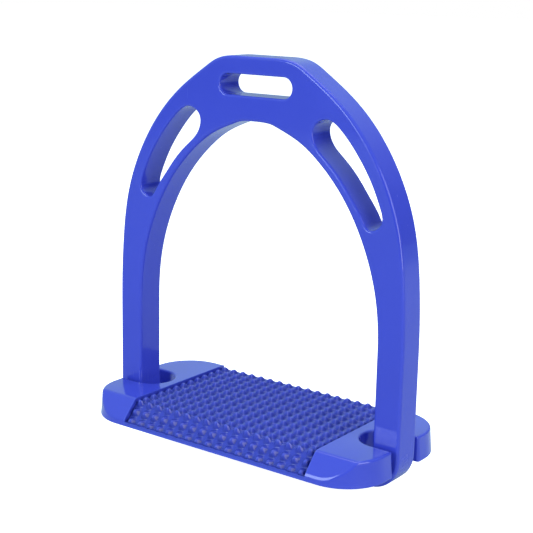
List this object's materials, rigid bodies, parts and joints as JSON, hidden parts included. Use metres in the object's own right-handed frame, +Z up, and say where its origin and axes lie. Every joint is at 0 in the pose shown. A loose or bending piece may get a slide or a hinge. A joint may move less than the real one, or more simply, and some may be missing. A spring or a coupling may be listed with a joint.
{
  "type": "stirrup iron",
  "caption": "Wide-tread riding stirrup: slotted flat-plate arch with a leather slot at the crown and a removable studded tread screwed to its foot bar.",
  "frame": {"origin": "middle of the foot bar's underside, in the middle plane of the arch, straight below the leather slot", "axes": "+Z up to the crown, +X to the right arm, -Y the side the rider's toes point to; the tread's middle is 1.9 mm to the +Y side and its sloped long edge faces -Y"},
  "size_m": [0.145, 0.0694, 0.1646],
  "materials": {
    "frame_paint": "gloss blue paint over aluminium",
    "tread_plastic": "gloss moulded, same blue as the frame",
    "screw_steel": "stainless, turned",
    "insert_brass": "turned brass"
  },
  "bodies": {
    "frame": {"frame": "frame_paint"},
    "tread": {"tread": "tread_plastic", "threaded_insert_left": "insert_brass", "threaded_insert_right": "insert_brass"},
    "tread_screw_left": {"tread_screw_left": "screw_steel"},
    "tread_screw_right": {"tread_screw_right": "screw_steel"}
  },
  "joints": [
    {"name": "tread_lift", "type": "slide", "parent": "frame", "child": "tread", "axis": [0, 0, 1], "range_m": [0, 0.055]},
    {"name": "screw_left_draw", "type": "slide", "parent": "frame", "child": "tread_screw_left", "axis": [0, 0, -1], "range_m": [0, 0.0125]},
    {"name": "screw_right_draw", "type": "slide", "parent": "frame", "child": "tread_screw_right", "axis": [0, 0, -1], "range_m": [0, 0.0125]}
  ]
}
